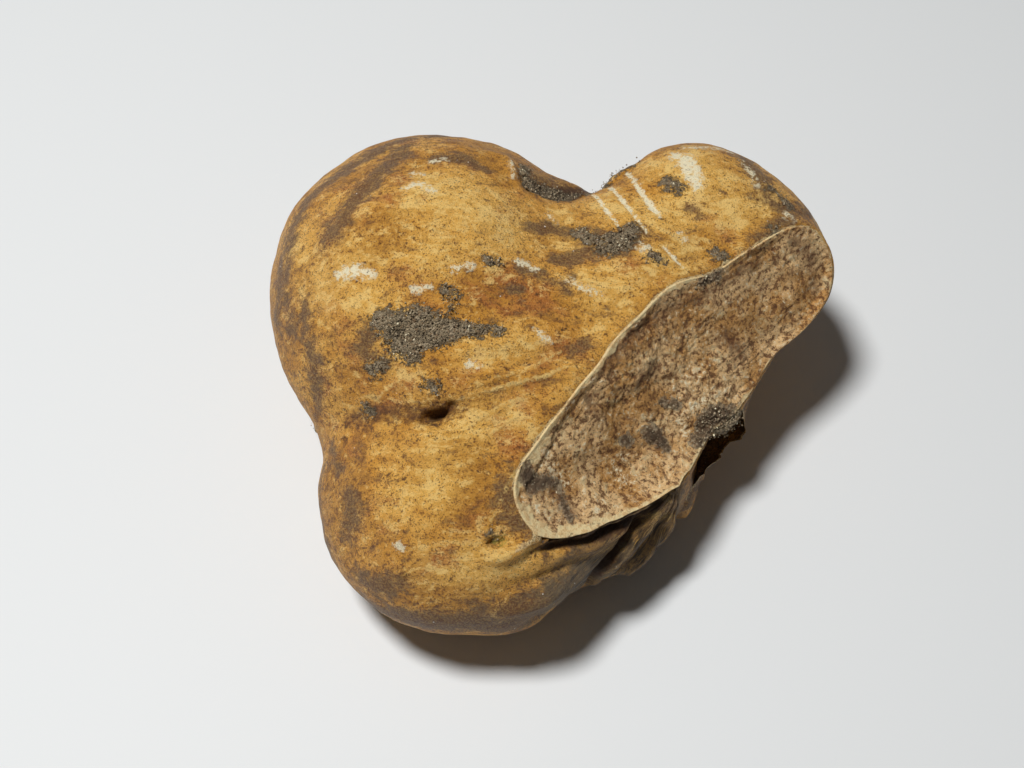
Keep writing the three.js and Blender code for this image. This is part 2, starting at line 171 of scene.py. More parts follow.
FRAME_SIZE = (1024, 768)
LENS_MM, SENSOR_MM = 52.0, 36.0
ELEVATION = np.radians(57)
TARGET = np.array([-3.7, -1.0, 15.0])
CAMERA_DISTANCE = 156.0
BACKWARD = np.array([0, -np.cos(ELEVATION), np.sin(ELEVATION)])
RIGHT = np.array([1.0, 0, 0])
ABOVE = np.cross(BACKWARD, RIGHT)
EYE = TARGET + BACKWARD * CAMERA_DISTANCE
PIXELS_PER_MM = 9.5
CAST_DEPTHS = np.linspace(118, 190, 289)  # from in front of the truffle to behind it
TOWARDS_LAMP = unit([-0.3, 0.0, 1.0])
LAMP_DISTANCE, LAMP_WIDTH, LAMP_WATTS = 0.5, 0.11, 2.4  # metres and watts
SKY_STRENGTH = 0.055
FLOOR_SIDE = 3.0
CLIP_START = 0.01

# Marks, as strokes of (across, down, radius) in pixels of the camera's frame. Each kind has the width
# of its soft edge in millimetres, and its strokes.
SKIN_MARKS = {
    "earth": (1.6, [  # caked soil
        [(380, 320, 8), (392, 326, 16), (412, 328, 21), (432, 331, 18), (456, 331, 10), (480, 331, 5),
         (500, 332, 2)], [(400, 346, 9), (414, 352, 8)], [(376, 368, 8), (382, 364, 5)],
        [(448, 293, 6), (455, 296, 4)], [(452, 308, 3), (448, 314, 2)],
        [(538, 184, 12), (552, 188, 14), (570, 188, 9), (585, 186, 5), (598, 184, 3)],
        [(524, 168, 4), (527, 180, 5)], [(606, 248, 10), (620, 242, 11), (632, 232, 7)],
        [(580, 234, 5), (592, 240, 4)], [(650, 258, 5), (658, 262, 4)], [(716, 256, 6), (722, 260, 4)],
        [(774, 236, 7), (784, 240, 5)], [(670, 187, 7), (680, 191, 4)], [(490, 265, 6), (500, 266, 3)],
        [(704, 413, 8), (716, 416, 11), (728, 414, 10), (712, 426, 8)], [(428, 386, 4), (436, 388, 4)],
        [(362, 408, 4), (366, 414, 3)], [(311, 427, 3), (315, 431, 2)],
        [(600, 186, 5), (612, 179, 4), (624, 172, 4), (638, 165, 2.5)], [(490, 534, 3), (497, 533, 3)],
        [(765, 190, 3), (786, 208, 3)],
    ]),
    "film": (2.6, [  # thin soil in the grain of the skin
        [(440, 622, 12), (500, 612, 14), (545, 594, 16), (590, 574, 18), (626, 552, 14)],
        [(450, 136, 5), (405, 140, 9), (360, 158, 13), (325, 186, 11), (298, 222, 8), (284, 262, 8),
         (282, 320, 8)],
        [(760, 385, 7), (748, 404, 9), (733, 424, 10), (712, 440, 10), (702, 462, 9), (698, 486, 10),
         (688, 506, 10)], [(402, 146, 8), (386, 164, 12), (368, 186, 14), (352, 208, 11), (338, 238, 7)],
        [(440, 156, 8), (466, 158, 9), (484, 168, 4)], [(350, 497, 9), (352, 516, 14), (348, 532, 8)],
        [(306, 300, 5), (312, 345, 7), (318, 372, 8), (322, 398, 7)],
        [(362, 578, 10), (384, 588, 12), (402, 580, 9)],
        [(366, 600, 9), (400, 616, 13), (440, 624, 16), (500, 624, 17), (545, 606, 14)],
        [(326, 470, 6), (324, 520, 6), (334, 560, 6)],
        [(520, 270, 3), (545, 280, 4), (562, 284, 5), (572, 276, 3)], [(575, 252, 6), (600, 250, 8)],
        [(512, 290, 4), (520, 294, 3)], [(586, 345, 5), (572, 352, 4)],
        [(296, 240, 6), (288, 290, 6), (296, 330, 6)], [(532, 226, 4), (552, 224, 5), (566, 232, 4)],
        [(340, 470, 4), (336, 450, 4)], [(372, 335, 10), (362, 352, 8), (380, 362, 9)],
        [(330, 225, 6), (324, 250, 5)], [(506, 486, 6), (504, 505, 9), (512, 522, 9), (530, 528, 5)],
        [(505, 478, 3), (510, 470, 3)], [(590, 238, 10), (616, 246, 14), (640, 236, 9)],
        [(560, 258, 6), (580, 254, 5)], [(760, 240, 8), (784, 222, 7), (804, 212, 5)],
        [(742, 160, 8), (756, 178, 11), (766, 200, 9), (786, 210, 6)], [(690, 208, 4), (696, 212, 3)],
        [(540, 180, 18), (568, 184, 12)],
    ]),
    "rust": (3.5, [  # stains
        [(482, 292, 16), (510, 292, 22), (540, 300, 19), (562, 316, 10)], [(424, 300, 8), (446, 316, 7)],
        [(556, 262, 10), (590, 262, 10)], [(376, 410, 8), (392, 398, 6)],
        [(560, 345, 10), (536, 372, 10), (520, 400, 12)], [(330, 300, 9), (345, 322, 10)],
        [(700, 216, 8), (722, 232, 8)], [(352, 348, 10), (360, 384, 9)], [(465, 515, 9), (480, 500, 8)],
        [(500, 420, 9), (512, 440, 8), (515, 458, 5)], [(410, 382, 6), (380, 392, 5)],
        [(356, 430, 9), (342, 460, 9)], [(400, 180, 7), (388, 202, 8)], [(425, 572, 8), (440, 560, 6)],
        [(460, 380, 8), (480, 372, 6)], [(632, 268, 8), (660, 280, 6)],
    ]),
    "straw": (4.5, [  # the cleanest skin
        [(470, 425, 20), (505, 415, 18)], [(690, 210, 26), (730, 210, 24), (760, 205, 14)],
        [(560, 215, 10), (590, 290, 14), (640, 280, 12), (680, 250, 14)],
        [(300, 250, 12), (330, 300, 16), (370, 300, 12)], [(420, 196, 26), (460, 206, 36), (505, 224, 26)],
        [(430, 252, 14), (480, 246, 12)], [(346, 262, 12), (372, 262, 12)],
        [(655, 170, 16), (690, 166, 26), (722, 176, 18)], [(600, 206, 8), (630, 214, 14), (660, 226, 12)],
        [(470, 360, 10), (500, 350, 13), (535, 350, 8)], [(400, 372, 6), (412, 384, 6)],
        [(430, 450, 18), (440, 490, 18), (400, 500, 10)], [(430, 570, 10), (480, 566, 18), (516, 564, 10)],
        [(590, 268, 8), (620, 272, 8)], [(600, 320, 8), (625, 300, 8)],
    ]),
    "pale": (1.0, [  # scuffs
        [(342, 276, 5), (356, 271, 6), (371, 276, 5)], [(414, 172, 4), (420, 174, 3)],
        [(408, 188, 4), (420, 184, 3), (432, 192, 3)], [(428, 160, 3), (444, 158, 3)],
        [(455, 270, 4), (470, 267, 3)], [(518, 263, 4), (532, 267, 3), (540, 269, 2)],
        [(674, 158, 5), (686, 162, 9), (692, 176, 10), (696, 190, 6)],
        [(684, 149, 3), (700, 149, 4), (722, 150, 4), (734, 154, 2)],
        [(638, 248, 4), (646, 252, 5), (650, 256, 3)], [(680, 237, 4), (683, 240, 3)],
        [(565, 278, 1.6), (582, 288, 2.2), (600, 297, 1.6)], [(414, 290, 3), (430, 288, 2)],
        [(398, 545, 3.5), (403, 549, 2.5)], [(742, 164, 2), (750, 176, 3), (756, 190, 2)],
        [(784, 218, 4), (790, 222, 3)], [(550, 214, 3), (556, 220, 2)], [(508, 166, 2), (513, 176, 2)],
        [(536, 332, 2), (548, 342, 2)], [(470, 364, 3), (478, 368, 2)],
    ]),
    "green": (0.8, [  # mould
        [(494, 540, 3), (499, 539, 4), (503, 543, 3)],
    ]),
    "lip": (0.5, [  # the cut edge, where it runs on over the skin
        [(503, 556, 1.6), (520, 545, 2.4), (540, 535, 3), (556, 531, 3)],
    ]),
    "scratch": (0.45, [  # clean through the skin
        [(593, 193, 1.2), (606, 212, 2), (618, 228, 1)],
        [(610, 188, 1.6), (624, 206, 2.6), (640, 226, 1.6), (646, 234, 0.9)],
        [(628, 174, 1.6), (640, 192, 2.4), (652, 210, 3), (660, 220, 1)],
        [(663, 248, 1), (674, 260, 1.8), (683, 270, 1)], [(366, 400, 0.4), (362, 412, 0.5)],
    ]),
    "crease": (0.5, [  # painted highlights along raised creases, with a crack beside them
        [(452, 402, 0.6), (500, 388, 1.4), (545, 376, 1.6), (566, 367, 0.6)],
        [(464, 388, 0.4), (500, 378, 1.0), (530, 368, 1.3), (560, 352, 0.8)],
        [(372, 402, 0.6), (386, 388, 1.2), (402, 378, 0.8)],
        [(470, 424, 0.6), (500, 406, 1.4), (520, 398, 0.8)],
        [(480, 440, 0.5), (505, 424, 1.0), (518, 414, 0.6)],
        [(515, 470, 0.9), (504, 492, 1.2), (496, 508, 0.9), (490, 522, 0.6)],
        [(488, 552, 1.2), (500, 558, 1.6), (510, 552, 1.2)],
    ]),
    "crack": (0.45, [  # dark
        [(418, 409, 0.8), (428, 404, 1.3), (446, 402, 0.8)],
        [(420, 420, 0.8), (436, 425, 1.2), (452, 416, 0.6)], [(484, 381, 2.6), (490, 379, 1.6)],
        [(515, 368, 1.2), (530, 364, 2)], [(560, 333, 1.6), (568, 331, 1.6)],
        [(450, 399, 0.6), (490, 386, 1), (540, 372, 1), (566, 363, 0.6)],
        [(460, 392, 0.5), (500, 374, 1), (530, 364, 0.8)],
        [(420, 376, 0.7), (428, 384, 1.2), (438, 388, 0.9)], [(364, 408, 1), (372, 410, 0.7)],
        [(512, 476, 0.7), (502, 498, 0.9), (494, 514, 0.7)],
        [(520, 178, 1.2), (530, 188, 1.6), (545, 196, 0.9)],
        [(430, 535, 0.8), (436, 546, 1), (442, 556, 0.7)],
    ]),
}
FLESH_MARKS = {
    "earth": (1.2, [
        [(524, 466, 6), (526, 476, 8), (532, 486, 8), (544, 480, 6), (554, 484, 4)],
        [(556, 490, 3), (562, 504, 4), (568, 516, 5)], [(650, 434, 7), (658, 438, 8), (666, 448, 4)],
        [(628, 440, 5), (630, 443, 5)], [(700, 420, 7), (714, 416, 10), (728, 412, 12), (738, 410, 8)],
        [(702, 430, 8), (718, 428, 10), (732, 424, 9)], [(694, 440, 6), (704, 436, 6)],
        [(700, 282, 4), (716, 274, 5)], [(664, 402, 4), (676, 404, 3)],
    ]),
    "pale": (2.0, [  # the palest veins
        [(690, 408, 6), (702, 400, 8), (716, 396, 7), (726, 386, 5)], [(672, 388, 5), (680, 392, 4)],
        [(548, 458, 8), (552, 474, 8), (566, 484, 7)], [(526, 500, 3), (544, 514, 4), (556, 522, 4)],
        [(628, 456, 5), (618, 470, 6), (630, 484, 6)], [(676, 412, 8), (684, 430, 6)],
        [(700, 372, 6), (686, 380, 6)], [(600, 500, 5), (590, 522, 5)],
    ]),
    "dark": (2.0, [  # bruises, and along the upper rim a band of painted shade
        [(600, 372, 7), (616, 348, 9), (640, 328, 9), (668, 310, 8), (716, 286, 7), (760, 262, 6)],
        [(725, 336, 9), (740, 352, 9)], [(640, 380, 8), (655, 372, 7)], [(590, 398, 7), (596, 420, 6)],
        [(560, 500, 7), (572, 512, 8)], [(795, 240, 8), (812, 262, 7), (815, 290, 6)],
    ]),
}


def smooth(x):
    """0 below 0, 1 above 1, and a smooth step between."""
    t = np.clip(x, 0, 1)
    return t * t * (3 - 2 * t)


def smooth_min(a, b, blend):
    """The lesser of two distances, with a fillet of about the blend's width."""
    h = np.clip(0.5 + 0.5 * (b - a) / blend, 0, 1)
    return b * (1 - h) + a * h - blend * h * (1 - h)


def lumps(p, size, seed):
    """Smooth lattice noise from -1 to 1: the values at a cubic lattice's corners, smoothly blended.
    A corner's value is the fraction of 43758.5453 sin(127.1 x + 311.7 y + 74.7 z + 53.3 seed)."""
    at = np.asarray(p) / size
    cell = np.floor(at)
    t = smooth(at - cell)
    total = np.zeros(at.shape[:-1])
    for corner in np.ndindex(2, 2, 2):
        weight = np.prod(np.where(corner, t, 1 - t), axis=-1)
        x, y, z = np.moveaxis(cell + corner, -1, 0)
        value = np.sin(x * 127.1 + y * 311.7 + z * 74.7 + seed * 53.3) * 43758.5453
        total += weight * (value - np.floor(value))
    return 2 * total - 1


def layered(p, layers, first_seed):
    """The sum of several sizes of lumps."""
    return sum(rise * lumps(p, size, first_seed + i) for i, (size, rise) in enumerate(layers))


def lobe_distance(p, lobe):
    """About the distance from an ellipsoid: k0 (k0 - 1) / k1, of its scaled radius and gradient."""
    centre, half, turn = lobe
    q = p - np.array(centre)
    c, s = np.cos(np.radians(turn)), np.sin(np.radians(turn))
    x = (q[..., 0] * c + q[..., 1] * s) / half[0]
    y = (q[..., 1] * c - q[..., 0] * s) / half[1]
    z = q[..., 2] / half[2]
    k0 = np.sqrt(x * x + y * y + z * z)
    k1 = np.sqrt((x / half[0]) ** 2 + (y / half[1]) ** 2 + (z / half[2]) ** 2) + 1e-9
    return k0 * (k0 - 1) / k1


def body_distance(p):
    """The lobes blended together, trimmed by the steep side's rounded plane."""
    lobes = lobe_distance(p, LOBES[0])
    for lobe in LOBES[1:]:
        lobes = smooth_min(lobes, lobe_distance(p, lobe), LOBE_BLEND)
    return -smooth_min(-lobes, SIDE_DISTANCE - p @ SIDE_NORMAL, SIDE_BLEND)


def outward(p):
    """The body's outward direction: the gradient of its distance, by small steps."""
    here = body_distance(p)
    return unit(np.stack([body_distance(p + GRADIENT_STEP * axis) - here for axis in np.eye(3)], -1))


def surface_points(directions):
    """The outermost crossing of the body's surface in each direction from the heart: a coarse
    search inwards, then bisection."""
    outside = np.full(len(directions), REACH)
    inside = np.full(len(directions), CORE)
    searching = np.ones(len(directions), bool)
    for r in np.arange(REACH, CORE, -SEARCH_STEP):
        hit = searching.copy()
        hit[searching] = body_distance(HEART + directions[searching] * r) < 0
        inside[hit] = r
        searching &= ~hit
        outside[searching] = r
    for _ in range(SKIN_HALVINGS):
        middle = (inside + outside) / 2
        within = body_distance(HEART + directions * middle[:, None]) < 0
        inside = np.where(within, middle, inside)
        outside = np.where(within, outside, middle)
    return HEART + directions * inside[:, None]


def break_height(along, upward):
    """Height of the break over its plane: a shallow dish that curls up at its near end."""
    share = np.hypot(along / BREAK_HALF_LENGTH, upward / BREAK_HALF_WIDTH)
    curl = CURL * np.maximum(0, share - CURL_FROM) ** 2 * np.clip(0.5 - along / CURL_FADE, 0, 1)
    return curl - BREAK_HOLLOW * np.clip(1 - share * share, 0, 1)


def above_break(p):
    """How far a point stands above the smooth break: positive is what has broken away."""
    q = p - BREAK_CENTRE
    return q @ BREAK_NORMAL - break_height(q @ ALONG, q @ UPWARD)


def to_path(p, path):
    """Distance from points to a path of rows (x, y, z, ...), its station there, and the row's rest."""
    path = np.asarray(path, float)
    best = np.full(p.shape[:-1], np.inf)
    station = np.zeros(p.shape[:-1])
    for i, (a, b) in enumerate(zip(path[:-1, :3], path[1:, :3])):
        span = b - a
        t = np.clip((p - a) @ span / (span @ span), 0, 1)
        away = np.linalg.norm(p - a - t[..., None] * span, axis=-1)
        station = np.where(away < best, i + t, station)
        best = np.minimum(best, away)
    rest = [np.interp(station, np.arange(len(path)), column) for column in path[:, 3:].T]
    return best, station, rest


def stroke_relief(p, rise, width, path):
    """A rounded ridge or groove along a path, lower towards its ends."""
    away, station, _ = to_path(p, path)
    to_end = np.minimum(station, len(path) - 1 - station)
    taper = 0.35 + 0.65 * smooth(to_end / 0.8) if len(path) > 2 else 1.0
    return rise * taper * np.exp(-((away / width) ** 2))


# The strokes, with their points brought onto the body's surface.
SURFACE_STROKES = [
    (rise, width, surface_points(unit(np.array(path, float) - HEART))) for rise, width, path in STROKES
]


def through_pixel(pixels):
    """Rays from the eye through frame pixels, scaled to a depth of one."""
    pixels = np.atleast_2d(np.asarray(pixels, float))
    focal = FRAME_SIZE[0] * LENS_MM / SENSOR_MM
    across = (pixels[:, :1] - FRAME_SIZE[0] / 2) / focal
    down = (pixels[:, 1:2] - FRAME_SIZE[1] / 2) / focal
    return RIGHT * across - ABOVE * down - BACKWARD


def cast(pixels):
    """Where the camera's rays first meet the broken body, or pass nearest to it."""
    p = EYE + through_pixel(pixels)[:, None] * CAST_DEPTHS[:, None]
    standing = np.maximum(np.maximum(body_distance(p), above_break(p)), -p[..., 2])
    inside = standing <= 0
    nearest = np.where(inside.any(1), inside.argmax(1), standing.argmin(1))
    return p[np.arange(len(p)), nearest]


def mark_strengths(p, kinds):
    """Each kind of mark's strength: 1 inside any of its strokes and 0 outside, with a soft edge."""
    strengths = {}
    for kind, (soft_mm, strokes) in kinds.items():
        strengths[kind] = np.zeros(p.shape[:-1])
        for stroke in strokes:
            stroke = np.array(stroke, float)
            path = np.column_stack([cast(stroke[:, :2]), stroke[:, 2] / PIXELS_PER_MM])
            away, _, (radius,) = to_path(p, path)
            inside = np.clip((radius - away) / soft_mm + 0.5, 0, 1)
            strengths[kind] = np.maximum(strengths[kind], inside)
    return strengths


def wrinkle_places(p):
    """Where the wrinkles of the steep side run, as their turn about the point they are drawn to and
    how far out they are, and how strongly they show: they fade in down the side and past that
    point, and out at the end of their reach."""
    q = p - WRINKLE_CENTRE
    outwards = -q @ unit(np.cross([0, 0, 1], SIDE_NORMAL))
    turn = np.arctan2(-q[..., 2], outwards)
    reach = np.hypot(q[..., 2], outwards)
    steep = smooth((p @ SIDE_NORMAL - WRINKLES_FROM) / 3.5) * smooth((WRINKLES_REACH - reach) / 8)
    steep *= smooth((outwards + 2) / 4)
    return np.stack([turn * WRINKLES_PER_RADIAN, reach * WRINKLE_DRIFT, 0 * turn], -1), steep


def set_mm(name):
    """One of the lengths that a user may change, in millimetres."""
    return getattr(bpy.context.scene.truffle_form, name) / MM


def skin_relief(p):
    """How far the skin stands off its smooth base near points p, without the fine grain."""
    wander = 0.3 * np.stack([lumps(p, 1.7, seed) for seed in (51, 52, 53)], -1)
    relief = layered(p, SKIN_SWELLS, 1)
    for rise, width, path in SURFACE_STROKES:
        relief += stroke_relief(p + wander, rise, width, path)
    folds, steep = wrinkle_places(p)
    relief += set_mm("wrinkles") * steep * (lumps(folds, 1, 61) + 0.5 * lumps(folds, 0.5, 62))
    edge = (above_break(p) + RIM_BACK) / set_mm("rim_width")
    return relief + set_mm("rim_height") * np.exp(-(edge**2))


def dish_point(along, upward):
    """A point of the smooth break."""
    flat = BREAK_CENTRE + np.multiply.outer(along, ALONG) + np.multiply.outer(upward, UPWARD)
    return flat + break_height(along, upward)[..., None] * BREAK_NORMAL


def inside_skin(along, upward):
    """How deep a point of the smooth break lies in the truffle, its skin's relief included."""
    dish = dish_point(along, upward)
    return skin_relief(dish) - body_distance(dish)


def ground_depth(along, upward):
    """How far under the smooth break the skin piece lies: nothing at the edge, more inside."""
    return GROUND_DEPTH * smooth(inside_skin(along, upward) / GROUND_SLOPE)


def rim_width(along, upward):
    """The pale cut edge of the skin: uneven, widest low at the break's near end, and narrow from a
    little past the middle on."""
    along_it = 1 - 0.7 * smooth((along - 2) / 8) + 1.9 * smooth((-12 - along) / 8) * smooth((3 - upward) / 6)
    dish = dish_point(along, upward)
    uneven = 1 + 0.5 * lumps(dish, 1.6, 41) + 0.4 * lumps(dish, 0.7, 42)
    return set_mm("rim_thickness") * along_it * uneven


def flesh_height(along, upward, across):
    """Height of the broken flesh over the smooth break: lumpy, and a step down within 0.9 mm of the
    cut edge."""
    in_flesh = smooth((across - rim_width(along, upward)) / 0.9)
    dish = dish_point(along, upward)
    return layered(dish, FLESH_LUMPS, 5) * (0.3 + 0.7 * in_flesh) - set_mm("rim_step") * in_flesh


def cube_directions(n):
    """Directions over a sphere as six square grids, evenly spread by the tangent of the angle,
    and the quads that join them, with the squares' shared edges merged."""
    t = np.tan(np.linspace(-np.pi / 4, np.pi / 4, n + 1))
    a, b = np.meshgrid(t, t, indexing="ij")
    one = np.ones_like(a)
    sides = [(one, a, b), (-one, b, a), (b, one, a), (a, -one, b), (a, b, one), (b, a, -one)]
    points = np.concatenate([np.stack(side, -1).reshape(-1, 3) for side in sides])
    _, first, index = np.unique(np.round(points * 1e5), axis=0, return_index=True, return_inverse=True)
    index = index.reshape(6, n + 1, n + 1)
    quads = np.stack([index[:, :-1, :-1], index[:, 1:, :-1], index[:, 1:, 1:], index[:, :-1, 1:]], -1)
    return unit(points[first]), quads.reshape(-1, 4)


def grid_quads(rows, columns):
    """The quads of one open grid."""
    index = np.arange(rows * columns).reshape(rows, columns)
    return np.stack([index[:-1, :-1], index[1:, :-1], index[1:, 1:], index[:-1, 1:]], -1).reshape(-1, 4)


def put_in_scene(name, data, axes=None, place=(0, 0, 0)):
    """A new object at a place in metres, with its axes as the columns of a turning matrix."""
    made = bpy.data.objects.new(name, data)
    if axes is not None:
        made.matrix_world = Matrix.Translation(place) @ Matrix(np.transpose(axes).tolist()).to_4x4()
    bpy.context.scene.collection.objects.link(made)
    return made


def new_piece(name, points_mm, faces, material, masks):
    """A smooth-shaded mesh object of points in the working frame, riding on the root body."""
    mesh = bpy.data.meshes.new(name)
    mesh.from_pydata(((points_mm + CENTRING) * MM).tolist(), [], faces)
    mesh.polygons.foreach_set("use_smooth", np.ones(len(faces), bool))
    for mask, values in masks.items():
        vector = np.ndim(values) == 2
        layer = mesh.attributes.new(mask, "FLOAT_VECTOR" if vector else "FLOAT", "POINT")
        layer.data.foreach_set("vector" if vector else "value", np.ravel(values).astype(np.float32))
    mesh.materials.append(material)
    piece = put_in_scene(name, mesh)
    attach(piece, "root")
    return piece


# ---- Materials ----------------------------------------------------------------------------------


def linear(code):
    """An sRGB hex colour as linear red, green, blue."""
    value = np.array([int(code[i:i + 2], 16) for i in (1, 3, 5)]) / 255
    return tuple(np.where(value <= 0.04045, value / 12.92, ((value + 0.055) / 1.055) ** 2.4))


def connect(tree, socket, value):
    """Link one input from a socket, or set it to a value."""
    if isinstance(value, bpy.types.NodeSocket):
        tree.links.new(value, socket)
    else:
        socket.default_value = value


def add(tree, kind, *values, output=None, **named):
    """Add one shader node. Named values are its settings or its inputs, and the others are its
    enabled inputs in order, each set to a value or linked from a socket. Returns one output."""
    made = tree.nodes.new("ShaderNode" + kind)
    for key, value in named.items():
        if key not in made.inputs:
            setattr(made, key, value)
    inputs = [(made.inputs[key], value) for key, value in named.items() if key in made.inputs]
    for socket, value in inputs + list(zip([i for i in made.inputs if i.enabled], values)):
        connect(tree, socket, value)
    return made.outputs[output] if output else next(o for o in made.outputs if o.enabled)


def per_mm(size):
    """The scale of a pattern whose features are this many millimetres across."""
    return 1 / (size * MM)


def painted(tree, ground, *layers):
    """Lay colours over the ground in turn. A layer is its colour, the pattern that it follows, the
    pattern's value where there is none of it and where there is most, and how much that is."""
    for colour, pattern, none_at, most_at, most in layers:
        share = add(tree, "MapRange", pattern, none_at, most_at, 0.0, most,
                    interpolation_type="SMOOTHSTEP")
        pair = [c if isinstance(c, bpy.types.NodeSocket) else (*c, 1.0) for c in (ground, colour)]
        ground = add(tree, "Mix", share, *pair, data_type="RGBA")
    return ground


def ragged(tree, mark, pattern, weight, everywhere=False):
    """A mark's strength with a pattern added about the pattern's own middle, so that the mark's
    edge comes out ragged. The pattern counts only near the mark, or everywhere."""
    strength = add(tree, "Attribute", attribute_name=mark, output="Fac")
    centred = add(tree, "Math", pattern, 0.5, operation="SUBTRACT")
    if not everywhere:
        near = add(tree, "Math", strength, 6.0, operation="MULTIPLY", use_clamp=True)
        centred = add(tree, "Math", centred, near, operation="MULTIPLY")
    return add(tree, "Math", centred, weight, strength, operation="MULTIPLY_ADD")


def new_material(name):
    """A named material with one Principled shader, and its node tree."""
    material = bpy.data.materials.new(name)
    material.use_nodes = True
    return material, material.node_tree


def finish(tree, **inputs):
    """Link or set the inputs of the Principled shader, with _ for a space in an input's name."""
    shader = tree.nodes["Principled BSDF"]
    for name, value in inputs.items():
        connect(tree, shader.inputs[name.replace("_", " ")], value)


def soil(tree, place, colours):
    """Dry clay soil: grains a fifth of a millimetre across, grey, brown and buff, with a few
    bright ones of quartz. Returns its colour and its height, 0.5 - distance + 1.5 clods."""
    # silt is finer than this: a fifth of a millimetre is the finest grain that shows
    clods = add(tree, "TexNoise", Vector=place, Scale=per_mm(1.1), Detail=6, Roughness=0.75)
    distance = add(tree, "TexVoronoi", Vector=place, Scale=per_mm(0.2), output="Distance")
    red = add(tree, "SeparateColor", distance.node.outputs["Color"], output="Red")
    green = red.node.outputs["Green"]
    colour = painted(
        tree, colours.earth,
        (colours.buff, clods, 0.50, 0.64, 0.6),
        (colours.grit, clods, 0.47, 0.36, 0.6),
        (colours.grit, green, 0.50, 1.0, 0.6),
        (colours.brown, green, 0.25, 0.05, 0.4),
        (colours.buff, red, 0.70, 0.95, 0.6),
        (colours.pale, red, 0.985, 0.99, 0.95),
    )
    grain = add(tree, "Math", 0.5, distance, operation="SUBTRACT")
    return colour, add(tree, "Math", clods, 1.5, grain, operation="MULTIPLY_ADD")


